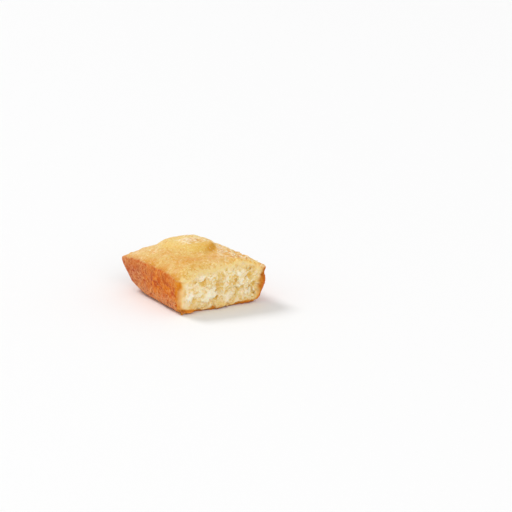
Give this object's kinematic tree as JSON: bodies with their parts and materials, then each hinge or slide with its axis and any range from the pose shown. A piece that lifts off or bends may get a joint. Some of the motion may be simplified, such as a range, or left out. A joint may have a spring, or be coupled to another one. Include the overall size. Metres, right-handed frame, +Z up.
{
  "type": "half financier cake",
  "caption": "Half of a small oblong financier cake, cut across: browned walls that taper to the base, a domed golden top and an open, pale crumb on the cut.",
  "frame": {"origin": "centre of the cake's box, on the surface that it rests on", "axes": "+X out of the cut face, +Y across the cake, +Z up"},
  "size_m": [0.0458, 0.0386, 0.0224],
  "materials": {
    "baked_cake": "soft, slightly oily baked crust: orange-brown walls and base, golden top, cream crumb on the cut"
  },
  "bodies": {
    "root": {"financier_half": "baked_cake"}
  },
  "joints": []
}
